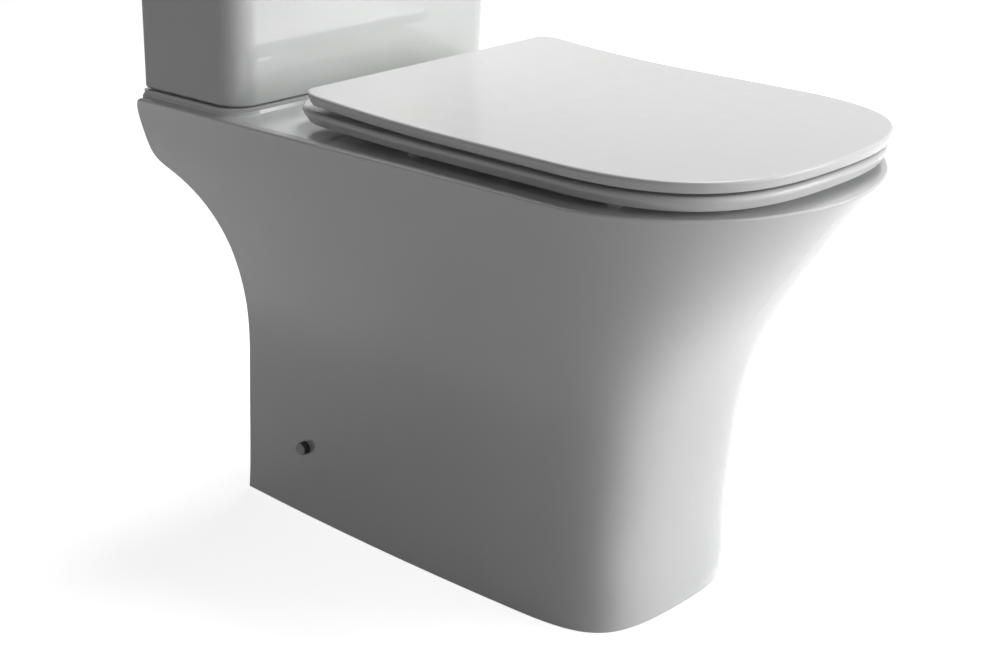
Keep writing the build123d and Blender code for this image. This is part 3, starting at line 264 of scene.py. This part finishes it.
bufferRubber = makeFinish("bufferRubber", {
    "skin": mouldedSkin,
    "effect": {"Body": (0.55, 0.55, 0.54, 1), "Shade": (0.48, 0.48, 0.46, 1), "Flow Scale": 90.0,
               "Smooth": 0.4, "Rough": 0.6},
    "shader": {"IOR": 1.45},
    "bump": (0.2, 0.0002),
})
chromePlate = makeFinish("chromePlate", {
    "skin": metalSkin,
    "effect": {"Body": (0.80, 0.80, 0.81, 1), "Tarnish": (0.66, 0.66, 0.67, 1), "Tarnish Share": 0.25,
               "Line Scale": 120.0, "Bright": 0.05, "Dull": 0.10},
    "shader": {"Metallic": 1.0},
    "bump": (0.02, 0.0001),
})
# chrome with a near-black colour: a painted dark reflection, not a dark finish
chromePaintedDark = makeFinish("chromePaintedDark", {
    "skin": metalSkin,
    "effect": {"Body": (0.085, 0.087, 0.088, 1), "Tarnish": (0.05, 0.05, 0.05, 1), "Tarnish Share": 0.35,
               "Line Scale": 90.0, "Bright": 0.18, "Dull": 0.28},
    "shader": {"Metallic": 1.0},
    "bump": (0.03, 0.0001),
})
brushedSteel = makeFinish("brushedSteel", {
    "skin": metalSkin,
    "effect": {"Body": (0.56, 0.56, 0.56, 1), "Tarnish": (0.42, 0.41, 0.39, 1), "Tarnish Share": 0.5,
               "Line Scale": 400.0, "Bright": 0.24, "Dull": 0.42},
    "shader": {"Metallic": 1.0},
    "bump": (0.12, 0.0001),
})
turnedBrass = makeFinish("turnedBrass", {
    "skin": metalSkin,
    "effect": {"Body": (0.68, 0.50, 0.24, 1), "Tarnish": (0.42, 0.29, 0.14, 1), "Tarnish Share": 0.6,
               "Line Scale": 350.0, "Bright": 0.2, "Dull": 0.42},
    "shader": {"Metallic": 1.0},
    "bump": (0.12, 0.0001),
})

finishOfSlot = {
    "ceramic": castGlaze, "seat_plastic": seatGloss, "white_plastic": whiteMoulding,
    "grey_plastic": greyMoulding, "buffer_rubber": bufferRubber, "black_rubber": blackRubber,
    "chrome": chromePlate, "steel": brushedSteel, "brass": turnedBrass,
}
# the screw caps are chrome; their near-black colour is a painted dark reflection
finishOfNode = {"screw_caps": chromePaintedDark}  # darker than the button housing
for entry in frame["record"]["subparts"]:
    name = entry["node"]
    mesh = nodes[name].data
    mesh.materials.clear()
    mesh.materials.append(finishOfNode.get(name, finishOfSlot[entry["material_slot"]]))
print("finishes set on", len(nodes), "nodes")


# Floor, backdrop, light, camera

def seenDirectly(tree):
    # 1 for rays that show the background: camera, mirror and glass rays
    path = tree.nodes.new("ShaderNodeLightPath")
    seen = path.outputs["Is Camera Ray"]
    for label in ("Is Glossy Ray", "Is Transmission Ray"):
        larger = tree.nodes.new("ShaderNodeMath")
        larger.operation = "MAXIMUM"
        tree.links.new(seen, larger.inputs[0])
        tree.links.new(path.outputs[label], larger.inputs[1])
        seen = larger.outputs[0]
    return seen


def shadeBySight(tree, hidden, shown, out):
    mix = tree.nodes.new("ShaderNodeMixShader")
    tree.links.new(seenDirectly(tree), mix.inputs[0])
    tree.links.new(hidden.outputs[0], mix.inputs[1])
    tree.links.new(shown.outputs[0], mix.inputs[2])
    tree.links.new(mix.outputs[0], out.inputs["Surface"])


# glow and shown are what the camera and reflections see, bounce is what lights the object from below
floorLook = {"glow": 0.8, "shown": 0.9, "bounce": 0.45, "size": 14.0, "below": 0.0005}
white = (1, 1, 1, 1)


def makeFloorFinish():
    material = bpy.data.materials.new("paleFloor")
    material.use_nodes = True
    tree = material.node_tree
    tree.nodes.clear()
    out = tree.nodes.new("ShaderNodeOutputMaterial")
    dull = tree.nodes.new("ShaderNodeBsdfDiffuse")
    dull.inputs["Color"].default_value = (floorLook["bounce"],) * 3 + (1,)
    shown = tree.nodes.new("ShaderNodeBsdfDiffuse")
    shown.inputs["Color"].default_value = (floorLook["shown"],) * 3 + (1,)
    glow = tree.nodes.new("ShaderNodeEmission")
    glow.inputs["Strength"].default_value = floorLook["glow"]
    lit = tree.nodes.new("ShaderNodeAddShader")
    tree.links.new(shown.outputs[0], lit.inputs[0])
    tree.links.new(glow.outputs[0], lit.inputs[1])
    shadeBySight(tree, dull, lit, out)
    return material


bpy.ops.mesh.primitive_plane_add(size=floorLook["size"], location=(0, 0, -floorLook["below"]))
floor = bpy.context.active_object
floor.name = "floor"
floor.data.materials.append(makeFloorFinish())

# fill is what lights the object, backdrop is what the camera and reflections see
studio = {"fill": 0.004, "backdrop": 1.0}
world = bpy.data.worlds.new("studio")
scene.world = world
world.use_nodes = True
world.node_tree.nodes.clear()
fillLight = world.node_tree.nodes.new("ShaderNodeBackground")
fillLight.inputs["Color"].default_value = white
fillLight.inputs["Strength"].default_value = studio["fill"]
backdrop = world.node_tree.nodes.new("ShaderNodeBackground")
backdrop.inputs["Color"].default_value = white
backdrop.inputs["Strength"].default_value = studio["backdrop"]
worldOut = world.node_tree.nodes.new("ShaderNodeOutputWorld")
shadeBySight(world.node_tree, fillLight, backdrop, worldOut)

# Lamps: place and size in metres, power in watts, all turned to one point on the pan
lampAim = Vector((0, 0, 0.35))
lamps = {
    "frontLow": {"from": (0.45, -3.0, 1.0), "size": (2.2, 1.6), "power": 27.0},
    "frontRight": {"from": (2.0, -2.6, 1.1), "size": (1.5, 1.5), "power": 46.0},
    "frontHigh": {"from": (0.2, -2.5, 2.3), "size": (1.6, 1.6), "power": 4.5},
    "top": {"from": (1.1, 0.1, 2.8), "size": (1.5, 1.5), "power": 47.0},
    "rearLeft": {"from": (-2.6, 2.0, 0.7), "size": (1.6, 1.2), "power": 4.0},
}
for name, look in lamps.items():
    bpy.ops.object.light_add(type="AREA", location=look["from"])
    lamp = bpy.context.active_object
    lamp.name = name + "Light"
    lamp.data.shape = "RECTANGLE"
    lamp.data.size, lamp.data.size_y = look["size"]
    lamp.data.energy = look["power"]
    lamp.rotation_euler = (lampAim - Vector(look["from"])).to_track_quat("-Z", "Y").to_euler()

# Camera: place in metres, lens and sensor in millimetres, angles in degrees
shot = {"place": (-1.3278, -1.1093, 0.8490), "lens": 72.94, "sensor": 36.0,
        "yaw": -49.35, "pitch": 20.09, "roll": 1.06}
yaw, pitch, roll = (math.radians(shot[k]) for k in ("yaw", "pitch", "roll"))
back = Vector((math.sin(yaw) * math.cos(pitch), -math.cos(yaw) * math.cos(pitch), math.sin(pitch)))
right = (-back).cross(Vector((0, 0, 1))).normalized()
up = right.cross(-back)
rolledRight = right * math.cos(roll) + up * math.sin(roll)
rolledUp = -right * math.sin(roll) + up * math.cos(roll)
camera = bpy.data.objects.new("camera", bpy.data.cameras.new("camera"))
scene.collection.objects.link(camera)
camera.data.lens = shot["lens"]
camera.data.sensor_width = shot["sensor"]
turn = Matrix((rolledRight, rolledUp, back)).transposed().to_4x4()
camera.matrix_world = Matrix.Translation(shot["place"]) @ turn
scene.camera = camera
scene.view_settings.view_transform = "Standard"
print("floor, light and camera set")
